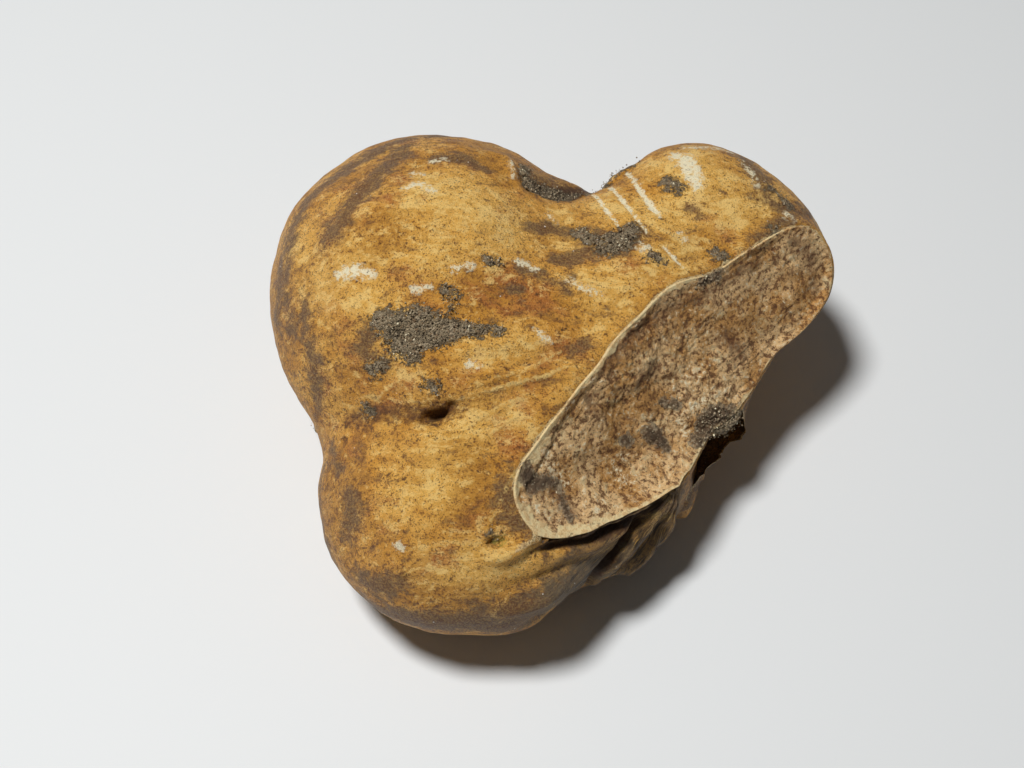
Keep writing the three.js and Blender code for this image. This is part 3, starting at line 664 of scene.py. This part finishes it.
def truffle_skin_material(name, colours):
    """Truffle skin (peridium): dry, leathery, brushed clean of most earth. Straw where it is clean
    to ochre, browner in blotches, stippled with soil in its grain where it isn't clean, with pale
    scuffs, glints of sand painted as highlights, painted highlights on raised lines, and painted
    shade in hollows and grooves."""
    material, tree = new_material(name)
    place = add(tree, "TexCoord", output="Object")
    drawn = add(tree, "VectorMath", place, (0.6, 1.0, 1.0), operation="MULTIPLY")  # streaky along X
    folds = add(tree, "Attribute", attribute_name="folds", output="Vector")
    broad, blotch, mottle, fine, stipple, wrinkle, crease = (
        add(tree, "TexNoise", Vector=where, Scale=scale, Detail=detail, Roughness=rough, Distortion=bent)
        for where, scale, detail, rough, bent in (
            (drawn, per_mm(7), 4, 0.6, 0.0),
            (drawn, per_mm(3.4), 8, 0.72, 0.6),
            (drawn, per_mm(1.4), 8, 0.75, 0.3),
            (place, per_mm(0.6), 6, 0.8, 0.0),
            (place, per_mm(0.21), 3, 0.75, 0.0),  # as coarse as the pores' dirt needs to show
            (folds, 2.2, 5, 0.65, 0.0),
            (folds, 6.5, 4, 0.7, 0.0),
        )
    )
    # how clean the skin is: most where it was marked clean, least where soil was left
    clean = ragged(tree, "straw", blotch, 3.0, True)
    film = ragged(tree, "film", mottle, 3.0, True)
    rusty = ragged(tree, "rust", blotch, 4.0, True)
    dirt = add(tree, "Math", clean, -0.09, 0.02, operation="MULTIPLY_ADD")
    dirt = add(tree, "Math", film, 0.05, dirt, operation="MULTIPLY_ADD")
    stained, soiled, grained = (
        add(tree, "Math", pattern, dirt, operation="ADD") for pattern in (blotch, mottle, fine)
    )
    sparse, crowded, dotted = (
        add(tree, "Math", cover, weight, stipple, operation="MULTIPLY_ADD")
        for cover, weight in ((film, -0.10), (film, 0.12), (stained, 0.5))
    )
    # the steep side's wrinkles, and the finer lines and gaps between them: painted shade in the grooves and
    # gaps, and a painted highlight on the lines
    steep = add(tree, "Attribute", attribute_name="steep", output="Fac")
    creased_shade, lined_highlight = (
        add(tree, "Math", steep, pattern, operation="MULTIPLY") for pattern in (wrinkle, crease)
    )
    between = add(tree, "Math", steep, lined_highlight, operation="SUBTRACT")
    cut_edge = painted(tree, colours.rim, (colours.flesh, fine, 0.47, 0.60, 0.6))
    # where shade is painted: the hollows, as a smooth mask and a ragged one
    hollow = add(tree, "Attribute", attribute_name="hollow", output="Fac")
    rough_hollow_shade = ragged(tree, "hollow", fine, 3.0, True)
    caked = ragged(tree, "earth", mottle, 3.0)
    crumbs = add(tree, "Math", fine, 0.5, operation="SUBTRACT")
    caked = add(tree, "Math", crumbs, 2.5, caked, operation="MULTIPLY_ADD")
    soil_colour, soil_height = soil(tree, place, colours)
    colour = painted(
        tree, colours.ochre,
        # broad fields, and blotches
        (colours.olive, broad, 0.55, 0.42, 0.4),
        (colours.straw, broad, 0.50, 0.60, 0.5),
        (colours.straw, clean, -0.2, 1.1, 1.0),
        (colours.rust, stained, 0.54, 0.64, 0.45),
        (colours.rust, rusty, 0.2, 1.1, 0.85),
        # unevenness in its own grain
        (colours.brown, soiled, 0.54, 0.65, 0.5),
        (colours.light, soiled, 0.47, 0.37, 0.7),
        (colours.brown, grained, 0.54, 0.63, 0.65),
        (colours.light, grained, 0.45, 0.34, 0.6),
        # soil in the grain: stipple, closing up into a grey film where soil was left
        (colours.film, film, 0.15, 0.85, 0.9),
        (colours.olive, sparse, 0.42, 0.33, 0.6),
        (cut_edge, ragged(tree, "rim", fine, 2.0), 0.35, 0.7, 0.9),  # stippled like the rest
        (colours.brown, crowded, 0.56, 0.61, 0.6),
        (colours.grit, crowded, 0.64, 0.72, 0.6),
        (colours.brown, dotted, 0.80, 0.90, 0.75),
        # the steep side greyed with the film's colour; painted shade, with soil, in the wrinkles' grooves and
        # between the raised lines, and a painted highlight on those lines
        (colours.film, ragged(tree, "steep", mottle, 2.5), 0.1, 1.0, 0.6),
        (colours.grit, creased_shade, 0.48, 0.62, 0.9),
        (colours.straw, lined_highlight, 0.55, 0.68, 0.55),
        (colours.grit, between, 0.53, 0.64, 0.7),
        # scuffs, scratches, creases with a painted highlight, and cracks
        (colours.pale, ragged(tree, "pale", fine, 5.0), 0.3, 0.9, 1.0),
        (colours.pale, ragged(tree, "scratch", fine, 3.0), 0.2, 0.55, 1.0),
        # painted highlight along the raised creases
        (colours.light, ragged(tree, "crease", fine, 4.0), 0.25, 0.75, 0.9),
        (colours.grit, ragged(tree, "crack", fine, 4.0, True), 0.40, 0.80, 0.85),
        # painted shade in the hollows, in brown and then grit, and caked earth hides the skin
        (colours.bruise_and_shade, rough_hollow_shade, 0.1, 0.6, 0.7),
        (colours.grit, rough_hollow_shade, 0.9, 1.6, 0.8),
        (colours.green, ragged(tree, "green", fine, 2.5), 0.3, 0.8, 0.85),
        (soil_colour, caked, 0.35, 0.55, 1.0),
        # painted shade again in the hollows, over the caked earth
        (colours.grit, hollow, 0.1, 0.8, 0.5),
    )
    # pale quartz sand, where there is soil or a stain, painted as bright glints: painted highlights
    cells = add(tree, "TexVoronoi", Vector=place, Scale=per_mm(1.5))
    sandy = add(tree, "Math", add(tree, "Math", film, rusty, operation="MAXIMUM"), 0.8, operation="MINIMUM")
    sand = add(tree, "Math", sandy, -0.08, cells, operation="MULTIPLY_ADD")
    painted_glint = add(tree, "MapRange", sand, 0.0, -0.02, 0.0, 0.9)
    colour = add(tree, "Mix", painted_glint, colour, (*colours.quartz, 1.0), data_type="RGBA")
    height = fine
    covered = add(tree, "MapRange", caked, 0.35, 0.60, 0.0, 1.2)
    for pattern, weight in ((stipple, 0.4), (creased_shade, -1.2), (lined_highlight, 1.2), (soil_height, covered)):
        height = add(tree, "Math", pattern, weight, height, operation="MULTIPLY_ADD")
    bump = add(tree, "Bump", Height=height, Distance=0.4 * MM, Strength=0.8)
    finish(tree, Base_Color=colour, Roughness=add(tree, "MapRange", caked, 0.3, 0.6, 0.5, 0.9), Normal=bump)
    return material


def truffle_flesh_material(colours):
    """Truffle flesh (gleba), broken and dried: hazel brown and crumbly, flecked and veined with
    cream, pitted, and darker where it is bruised or dirty, with a band of painted shade along its
    upper rim."""
    material, tree = new_material("truffle_flesh_broken")
    place = add(tree, "TexCoord", output="Object")
    broad, crumb, fleck, grit = (
        add(tree, "TexNoise", Vector=place, Scale=per_mm(mm), Detail=detail, Roughness=rough, Distortion=bent)
        for mm, detail, rough, bent in (
            (5, 4, 0.6, 0.0), (1.5, 8, 0.75, 0.5), (0.6, 6, 0.75, 0.0), (0.24, 3, 0.7, 0.0),
        )
    )
    cut_edge = painted(tree, colours.rim, (colours.flesh, fleck, 0.46, 0.58, 0.6))
    soil_colour, _ = soil(tree, place, colours)
    dirty = ragged(tree, "earth", fleck, 3.0)
    colour = painted(
        tree, colours.flesh,
        (colours.flesh_light, broad, 0.42, 0.58, 1.0),
        (colours.bruise_and_shade, crumb, 0.48, 0.38, 0.7),
        (colours.rim, crumb, 0.54, 0.64, 0.7),
        (colours.bruise_and_shade, fleck, 0.49, 0.42, 0.85),
        (colours.pale, fleck, 0.55, 0.66, 0.7),
        (colours.pale, ragged(tree, "pale", fleck, 5.0, True), 0.6, 1.3, 0.9),
        # bruises, and painted shade along the upper rim
        (colours.bruise_and_shade, ragged(tree, "dark", crumb, 4.0, True), 0.2, 1.1, 0.75),
        (colours.grit, grit, 0.59, 0.68, 0.7),
        (cut_edge, ragged(tree, "rim", crumb, 3.5), 0.3, 0.9, 0.85),
        (soil_colour, ragged(tree, "earth", crumb, 3.0), 0.25, 0.45, 0.9),
        (colours.bruise_and_shade, dirty, 0.3, 0.8, 0.5),
        (colours.grit, dirty, 0.4, 1.0, 0.6),
    )
    height = add(tree, "Math", grit, -0.4, fleck, operation="MULTIPLY_ADD")
    height = add(tree, "Math", crumb, 0.5, height, operation="MULTIPLY_ADD")
    bump = add(tree, "Bump", Height=height, Distance=0.4 * MM, Strength=0.8)
    finish(tree, Base_Color=colour, Roughness=0.8, Normal=bump)
    return material


def earth_material(colours):
    """Dry clay soil with quartz sand, in loose crumbs: each has its own tone."""
    material, tree = new_material("clay_soil_with_quartz")
    place = add(tree, "TexCoord", output="Object")
    tone = add(tree, "Attribute", attribute_name="tone", output="Fac")
    soil_colour, _ = soil(tree, place, colours)
    colour = painted(
        tree, soil_colour,
        (colours.grit, tone, 0.4, 0.1, 0.7),
        (colours.buff, tone, 0.75, 0.9, 0.6),
        (colours.pale, tone, 0.985, 0.99, 1.0),
    )
    rough = add(tree, "TexNoise", Vector=place, Scale=per_mm(0.3), Detail=3)
    bump = add(tree, "Bump", Height=rough, Distance=0.15 * MM, Strength=0.8)
    glassy = add(tree, "MapRange", tone, 0.985, 0.99, 0.9, 0.2)
    finish(tree, Base_Color=colour, Roughness=glassy, Normal=bump)
    return material


# ---- Properties ---------------------------------------------------------------------------------


def length(name, description, millimetres):
    """A length that a user may change."""
    return bpy.props.FloatProperty(name=name, description=description, default=millimetres * MM,
                                   min=0.0, unit="LENGTH", precision=5)


def count(name, description, number):
    """A number of rows or grains that a user may change."""
    return bpy.props.IntProperty(name=name, description=description, default=number, min=1)


def tint(name, description, value):
    """A colour that a user may change, from its sRGB hex value."""
    return bpy.props.FloatVectorProperty(name=name, description=description, default=linear(value),
                                         size=3, min=0.0, max=1.0, subtype="COLOR")


class TruffleForm(bpy.types.PropertyGroup):
    """Sizes of the truffle's fine form."""

    rim_height: length("Rim height", "How far the skin stands up along the break", 0.5)
    rim_width: length("Rim width", "Half-width of the skin's raised edge", 0.8)
    rim_thickness: length("Rim thickness", "Width of the pale cut edge of the skin", 0.45)
    rim_step: length("Rim step", "How far the flesh lies below its edge", 0.28)
    crust: length("Crust thickness", "How thick the caked earth lies on the skin", 0.3)
    wrinkles: length("Wrinkles", "Rise of the fine wrinkles on the steep side", 0.25)
    edge_blend: length("Edge blend", "Rounding where skin meets flesh", 0.22)
    flap_thickness: length("Flap thickness", "How thick the torn flap is at its lip", 0.3)
    flap_sag: length("Flap sag", "How deep the flap's trough is", 1.0)
    flesh_grain: length("Flesh grain", "Rise of the broken flesh's crumbs", 0.16)
    grain_size: length("Soil grain", "Half-width of a middling grain of soil", 0.06)
    skin_rows: count("Skin rows", "Quads along a sixth of the skin", 127)
    flesh_rows: count("Flesh rows", "Points along the flesh", 430)
    grains: count("Soil grains", "How many loose grains lie on it", 4200)


class TruffleColours(bpy.types.PropertyGroup):
    """Colours of the truffle and of the floor."""

    ochre: tint("Ochre", "Most of the skin", "#D69534")
    straw: tint("Straw", "The cleanest skin", "#F3BC5A")
    light: tint("Light", "The palest grain of the skin", "#FDD582")
    olive: tint("Olive", "Duller fields of skin", "#AD7D30")
    brown: tint("Brown", "Mottling of the skin", "#764518")
    rust: tint("Rust", "Stained skin", "#B4682A")
    pale: tint("Pale", "Scuffed skin and the palest flesh", "#FFF2CC")
    green: tint("Green", "The mouldy pit", "#A4983F")
    film: tint("Soil film", "Thin soil in the grain of the skin", "#71664E")
    earth: tint("Earth", "Caked soil", "#988668")
    buff: tint("Buff", "Paler grains of soil", "#C4B192")
    # also laid as painted shade in the skin's hollows and in the steep side's grooves
    grit: tint("Grit", "Black grit and the dirt of cracks", "#33271B")
    # its glints on the skin are painted highlights
    quartz: tint("Quartz", "Glints of sand", "#FFFCF1")
    rim: tint("Rim", "Cut skin round the break, and the flesh's veins", "#FFE8B0")
    flesh: tint("Flesh", "Broken flesh", "#CB9653")
    flesh_light: tint("Light flesh", "Paler broken flesh", "#ECC288")
    # also laid as painted shade in the skin's hollows and along the flesh's upper rim
    bruise_and_shade: tint("Bruised flesh", "Pits and bruises of the flesh", "#643A19")
    floor: tint("Floor", "The floor it lies on", "#E9EBEB")


# ---- Operators ----------------------------------------------------------------------------------


def raise_skin(base):
    """The skin over its smooth base, and the marks on it."""
    marks = mark_strengths(base, SKIN_MARKS)
    # darker towards the bottom: the film's colour rises to three quarters over the lowest 8 mm
    near_ground = smooth((8 - base[:, 2]) / 8)
    marks["film"] = np.maximum(marks["film"], 0.75 * near_ground)
    marks["folds"], marks["steep"] = wrinkle_places(base)
    marks["hollow"] = np.zeros(len(base))
    relief = skin_relief(base) + layered(base, SKIN_GRAIN, 11)
    # caked earth, lumpy and with a ragged edge
    caked = smooth((marks["earth"] + 0.35 * lumps(base, 1.9, 21) + 0.2 * lumps(base, 0.9, 22) - 0.4) / 0.3)
    caked *= marks["earth"] > 0
    relief += set_mm("crust") * caked * (1 + 0.8 * lumps(base, 0.8, 23))
    relief += -0.15 * marks["scratch"] + 0.12 * marks["crease"] - 0.3 * marks["crack"]
    # painted shade: the deeper parts of grooves, and the holes, are marked as hollows to be darkened
    for rise, width, path in SURFACE_STROKES:
        if rise < 0:
            dip = smooth(-stroke_relief(base, rise, width, path) - 0.2)
            marks["hollow"] = np.maximum(marks["hollow"], dip)
    for deep, wide, pixels in HOLES:
        away, _, _ = to_path(base, cast(pixels))
        inside = wide - (away + 0.45 * lumps(base, 0.7, 25))
        relief -= deep * smooth(inside / 0.45)
        marks["hollow"] = np.maximum(marks["hollow"], 0.4 * smooth(inside / 0.5))
    return base + outward(base) * relief[:, None], marks


def cut_to_flesh(skin):
    """Skin points above the break brought down below its flesh on lines from a point behind it;
    the share of each line is found by bisection, and the edge is rounded."""
    line = skin - CUT_FROM
    reach = np.linalg.norm(line, axis=1)

    def standing(p):
        along, upward = (p - BREAK_CENTRE) @ ALONG, (p - BREAK_CENTRE) @ UPWARD
        return (p - dish_point(along, upward)) @ BREAK_NORMAL + ground_depth(along, upward)

    over = standing(skin)
    share = 1 - over / (line @ BREAK_NORMAL)
    cut = over > 0
    low, high = np.full(cut.sum(), CUT_SHARE), np.ones(cut.sum())
    for _ in range(CUT_HALVINGS):
        middle = (low + high) / 2
        above = standing(CUT_FROM + line[cut] * middle[:, None]) > 0
        high, low = np.where(above, middle, high), np.where(above, low, middle)
    share[cut] = low
    rounded = smooth_min(reach, share * reach, set_mm("edge_blend"))
    return CUT_FROM + line * (rounded / reach)[:, None], over


class TRUFFLE_OT_skin(bpy.types.Operator):
    """Grow the truffle's skin and the ground of its break as one closed surface"""

    bl_idname = "truffle.skin"
    bl_label = "Skin"

    def execute(self, context):
        directions, quads = cube_directions(context.scene.truffle_form.skin_rows)
        skin, marks = raise_skin(surface_points(directions))
        points, over = cut_to_flesh(skin)
        points[:, 2] = np.maximum(points[:, 2], 0)
        marks["rim"] = np.maximum(smooth(over / 0.15), 0.9 * marks.pop("lip"))
        material = truffle_skin_material("truffle_skin_leathery", context.scene.truffle_colours)
        piece = new_piece("truffle_skin", points, quads.tolist(), material, marks)
        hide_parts("truffle")
        return {"FINISHED"}


def break_outline(angles):
    """How far the break reaches in each direction from the flesh's centre before it leaves the skin."""
    reach = OUTLINE_SEARCH
    along = FLESH_CENTRE[0] + np.outer(np.cos(angles), reach)
    upward = FLESH_CENTRE[1] + np.outer(np.sin(angles), reach)
    depth = inside_skin(along, upward)
    last = np.argmax(depth < 0, axis=1)
    rows = np.arange(len(angles))
    inside, outside = depth[rows, last - 1], depth[rows, last]
    return reach[last - 1] + (reach[1] - reach[0]) * inside / (inside - outside)


class TRUFFLE_OT_flesh(bpy.types.Operator):
    """Lay the torn, crumbly flesh in the break, finer than the skin"""

    bl_idname = "truffle.flesh"
    bl_label = "Flesh"

    def execute(self, context):
        rows = context.scene.truffle_form.flesh_rows
        columns = rows * 2 // 5
        # a square grid pressed into a disc, then stretched to the break's outline
        a, b = np.meshgrid(np.linspace(-1, 1, rows), np.linspace(-1, 1, columns), indexing="ij")
        x, y = a * np.sqrt(1 - b * b / 2), b * np.sqrt(1 - a * a / 2)
        share, angle = np.hypot(x, y).ravel(), np.arctan2(y, x).ravel()
        angles = np.linspace(-np.pi, np.pi, 361)
        outline = break_outline(angles)
        reach = np.interp(angle, angles, outline) * share
        along = FLESH_CENTRE[0] + reach * np.cos(angle)
        upward = FLESH_CENTRE[1] + reach * np.sin(angle)
        dish = dish_point(along, upward)
        edge_along = FLESH_CENTRE[0] + outline * np.cos(angles)
        edge_upward = FLESH_CENTRE[1] + outline * np.sin(angles)
        across, _, _ = to_path(dish, dish_point(edge_along, edge_upward))
        # crumbs, drawn out into fibres towards the far end
        drawn = 1 + 1.6 * smooth((along - 3) / 8)
        grain_at = dish - (along * (1 - 1 / drawn))[:, None] * ALONG
        grain = layered(grain_at, FLESH_GRAIN, 31) * set_mm("flesh_grain")
        marks = mark_strengths(dish, FLESH_MARKS)
        past_rim = across - rim_width(along, upward)
        marks["rim"] = 1 - smooth((past_rim + 0.3) / 0.6)
        in_flesh = smooth((past_rim + 0.2) / 0.5)
        height = flesh_height(along, upward, across) + grain * (0.15 + 0.85 * in_flesh)
        height += 0.2 * marks["earth"] * (1 + lumps(dish, 0.7, 24)) * in_flesh + 0.12
        height = np.maximum(height, 0.2 - ground_depth(along, upward))
        height -= 0.4 * smooth((0.14 - across) / 0.14)
        points = dish + height[:, None] * BREAK_NORMAL
        material = truffle_flesh_material(context.scene.truffle_colours)
        new_piece("truffle_flesh", points, grid_quads(rows, columns).tolist(), material, marks)
        return {"FINISHED"}


class TRUFFLE_OT_flap(bpy.types.Operator):
    """Hang the torn, curled flap of skin below the break"""

    bl_idname = "truffle.flap"
    bl_label = "Flap"

    def execute(self, context):
        """A closed sheet over station s and a loop round its section. With D across both, it is
        root + (lip - root) v r(s) + D (sag sin(pi v) - curl c(v)) -+ D thickness / 2, v from root
        to lip up the inner face and back down the outer one, r(s) ragged, c(v) rising at the lip."""
        stations, half = FLAP_STATIONS, FLAP_ROWS
        s = np.linspace(0, len(FLAP_LIP) - 1, stations)
        root = surface_points(unit(np.array(FLAP_ROOT) - HEART))
        # the listed points are softened into two curves, and the root is sunk into the skin
        spread = np.exp(-0.5 * ((s[:, None] - np.arange(len(FLAP_LIP))) / FLAP_SOFTENING) ** 2)
        spread /= spread.sum(axis=1, keepdims=True)
        root, lip = spread @ root, spread @ np.array(FLAP_LIP)
        root -= 0.6 * outward(root)
        way = unit(np.gradient(lip + root, axis=0))
        down = unit(np.cross(lip - root, way))
        down *= np.sign(-down[:, 2:])
        # how far it reaches, ragged and dying out at both ends
        at = np.column_stack([s * 2.2, 0 * s, 0 * s])
        ragged_reach = 1 + 0.16 * lumps(at, 1.3, 71) + 0.07 * lumps(at, 0.6, 72)
        ends = smooth(np.minimum(s, s[-1] - s) / 0.9)
        # its section: thickest at the root and rounded at the lip, sagging, with folds across it
        v = np.linspace(0, 1, half)
        loop_v = np.concatenate([v, v[::-1]])
        side = np.concatenate([-np.ones(half), np.ones(half)])
        thick = set_mm("flap_thickness") * (1.6 - loop_v) * np.sqrt(np.clip(1 - loop_v**8, 0.02, 1))
        folds = np.stack(np.broadcast_arrays(s[:, None] * 3.2, loop_v * 1.3, 0.0), -1)
        fall = set_mm("flap_sag") * ends[:, None] * np.sin(np.pi * loop_v)
        fall = fall - 0.45 * smooth((loop_v - 0.7) / 0.3)
        fall = fall + 0.16 * lumps(folds, 1.0, 73) + 0.08 * lumps(folds, 0.4, 74) + side * thick / 2
        reach = loop_v * (ragged_reach * (0.3 + 0.7 * ends))[:, None]
        points = root[:, None] + (lip - root)[:, None] * reach[..., None] + down[:, None] * fall[..., None]
        index = np.arange(stations * 2 * half).reshape(stations, 2 * half)
        turned = np.roll(index, -1, axis=1)
        quads = np.stack([index[:-1], turned[:-1], turned[1:], index[1:]], -1).reshape(-1, 4).tolist()
        faces = quads + [index[0, ::-1].tolist(), index[-1].tolist()]
        # the lip is painted pale as a torn edge and as a painted highlight; painted shade darkens the inner
        # face towards the root
        torn = np.broadcast_to(0.75 * smooth((loop_v - 0.8) / 0.2), (stations, 2 * half)).ravel()
        dark = np.broadcast_to((side < 0) * smooth((0.5 - loop_v) / 0.4), (stations, 2 * half)).ravel()
        marks = {"film": np.full(len(torn), 0.6), "rim": torn, "hollow": dark}
        material = truffle_skin_material("truffle_skin_torn", context.scene.truffle_colours)
        new_piece("truffle_flap", points.reshape(-1, 3), faces, material, marks)
        return {"FINISHED"}


def icosahedron():
    """The corners and triangles of a regular icosahedron of radius one."""
    g = (1 + 5**0.5) / 2
    corners = [(-1, g, 0), (1, g, 0), (-1, -g, 0), (1, -g, 0), (0, -1, g), (0, 1, g)]
    corners += [(0, -1, -g), (0, 1, -g), (g, 0, -1), (g, 0, 1), (-g, 0, -1), (-g, 0, 1)]
    faces = [(0, 11, 5), (0, 5, 1), (0, 1, 7), (0, 7, 10), (0, 10, 11), (1, 5, 9), (5, 11, 4)]
    faces += [(11, 10, 2), (10, 7, 6), (7, 1, 8), (3, 9, 4), (3, 4, 2), (3, 2, 6), (3, 6, 8)]
    faces += [(3, 8, 9), (4, 9, 5), (2, 4, 11), (6, 2, 10), (8, 6, 7), (9, 8, 1)]
    return unit(corners), np.array(faces)


class TRUFFLE_OT_grains(bpy.types.Operator):
    """Scatter loose grains and crumbs of soil over the caked earth"""

    bl_idname = "truffle.grains"
    bl_label = "Grains"

    def execute(self, context):
        random = np.random.default_rng(GRAIN_SEED)
        beds = []
        for name in ("truffle_skin", "truffle_flesh"):
            mesh = bpy.data.objects[name].data
            place, facing, earth = (np.empty(len(mesh.vertices) * width) for width in (3, 3, 1))
            mesh.vertices.foreach_get("co", place)
            mesh.vertices.foreach_get("normal", facing)
            mesh.attributes["earth"].data.foreach_get("value", earth)
            beds.append(np.column_stack([place.reshape(-1, 3) / MM, facing.reshape(-1, 3), earth]))
        bed = np.concatenate(beds)
        weight = smooth((bed[:, 6] - 0.15) / 0.5)
        weight *= np.where(np.arange(len(bed)) < len(beds[0]), 1.0, SHARE_ON_FLESH)
        chosen = bed[random.choice(len(bed), context.scene.truffle_form.grains, p=weight / weight.sum())]
        size = set_mm("grain_size") * np.exp(random.normal(0, 0.4, len(chosen)))
        place = chosen[:, :3] + random.normal(0, GRAIN_SCATTER, (len(chosen), 3))
        place += chosen[:, 3:6] * size[:, None] * 0.2
        ball, faces = icosahedron()
        stretch = size[:, None] * random.uniform(0.65, 1.3, (len(chosen), 3))
        bumps = random.uniform(0.75, 1.2, (len(chosen), len(ball), 1))
        # each an uneven ball, stretched and turned its own way
        turned = np.linalg.qr(random.normal(size=(len(chosen), 3, 3)))[0]
        turned *= np.sign(np.linalg.det(turned))[:, None, None]
        corners = np.einsum("nij,nkj->nki", turned, ball * bumps * stretch[:, None])
        points = (corners + place[:, None]).reshape(-1, 3)
        points[:, 2] = np.maximum(points[:, 2], 0.02)
        joined = (faces + len(ball) * np.arange(len(chosen))[:, None, None]).reshape(-1, 3)
        tone = np.repeat(random.uniform(0, 1, len(chosen)), len(ball))
        material = earth_material(context.scene.truffle_colours)
        new_piece("loose_soil", points - CENTRING, joined.tolist(), material, {"tone": tone})
        return {"FINISHED"}


class TRUFFLE_OT_stage(bpy.types.Operator):
    """Set the pale floor, the soft studio light and the camera"""

    bl_idname = "truffle.stage"
    bl_label = "Stage"

    def execute(self, context):
        scene = context.scene
        material, tree = new_material("matt_studio_floor")
        finish(tree, Base_Color=(*scene.truffle_colours.floor, 1.0), Roughness=0.6)
        mesh = bpy.data.meshes.new("floor")
        half = FLOOR_SIDE / 2
        corners = [(-half, -half, 0), (half, -half, 0), (half, half, 0), (-half, half, 0)]
        mesh.from_pydata(corners, [], [(0, 1, 2, 3)])
        mesh.materials.append(material)
        put_in_scene("floor", mesh)

        world = bpy.data.worlds.new("studio")
        world.use_nodes = True
        sky = world.node_tree.nodes["Background"].inputs
        sky["Color"].default_value = (1.0, 1.0, 1.0, 1.0)
        sky["Strength"].default_value = SKY_STRENGTH
        scene.world = world

        eye = (EYE + CENTRING) * MM
        target = (TARGET + CENTRING) * MM
        lamp = bpy.data.lights.new("key", "AREA")
        lamp.shape = "DISK"
        lamp.size = LAMP_WIDTH
        lamp.energy = LAMP_WATTS
        side = unit(np.cross([0, 1, 0], TOWARDS_LAMP))
        axes = (side, np.cross(TOWARDS_LAMP, side), TOWARDS_LAMP)
        put_in_scene("key", lamp, axes, target + LAMP_DISTANCE * TOWARDS_LAMP)

        camera = bpy.data.cameras.new("camera")
        camera.lens = LENS_MM
        camera.sensor_width = SENSOR_MM
        camera.clip_start = CLIP_START
        scene.camera = put_in_scene("camera", camera, (RIGHT, ABOVE, BACKWARD), eye)
        scene.view_settings.view_transform = "Standard"
        return {"FINISHED"}


class TRUFFLE_PT_panel(bpy.types.Panel):
    """The truffle's pieces and settings"""

    bl_idname = "TRUFFLE_PT_panel"
    bl_label = "Truffle"
    bl_space_type = "VIEW_3D"
    bl_region_type = "UI"
    bl_category = "Truffle"

    def draw(self, context):
        for settings in (context.scene.truffle_form, context.scene.truffle_colours):
            box = self.layout.box()
            for name in settings.bl_rna.properties.keys():
                if name not in ("rna_type", "name"):
                    box.prop(settings, name)
        for operator in OPERATORS:
            self.layout.operator(operator.bl_idname)


OPERATORS = (TRUFFLE_OT_stage, TRUFFLE_OT_skin, TRUFFLE_OT_flesh, TRUFFLE_OT_flap, TRUFFLE_OT_grains)
CLASSES = (TruffleForm, TruffleColours, *OPERATORS, TRUFFLE_PT_panel)


def register():
    """Add the classes, and the truffle's settings to the scene."""
    for kind in CLASSES:
        bpy.utils.register_class(kind)
    bpy.types.Scene.truffle_form = bpy.props.PointerProperty(type=TruffleForm)
    bpy.types.Scene.truffle_colours = bpy.props.PointerProperty(type=TruffleColours)


def unregister():
    """Take them away again."""
    del bpy.types.Scene.truffle_colours
    del bpy.types.Scene.truffle_form
    for kind in reversed(CLASSES):
        bpy.utils.unregister_class(kind)


def main():
    """Build the whole truffle."""
    register()
    bpy.ops.truffle.stage()
    bpy.ops.truffle.skin()
    bpy.ops.truffle.flesh()
    bpy.ops.truffle.flap()
    bpy.ops.truffle.grains()


if __name__ == "__main__":
    main()
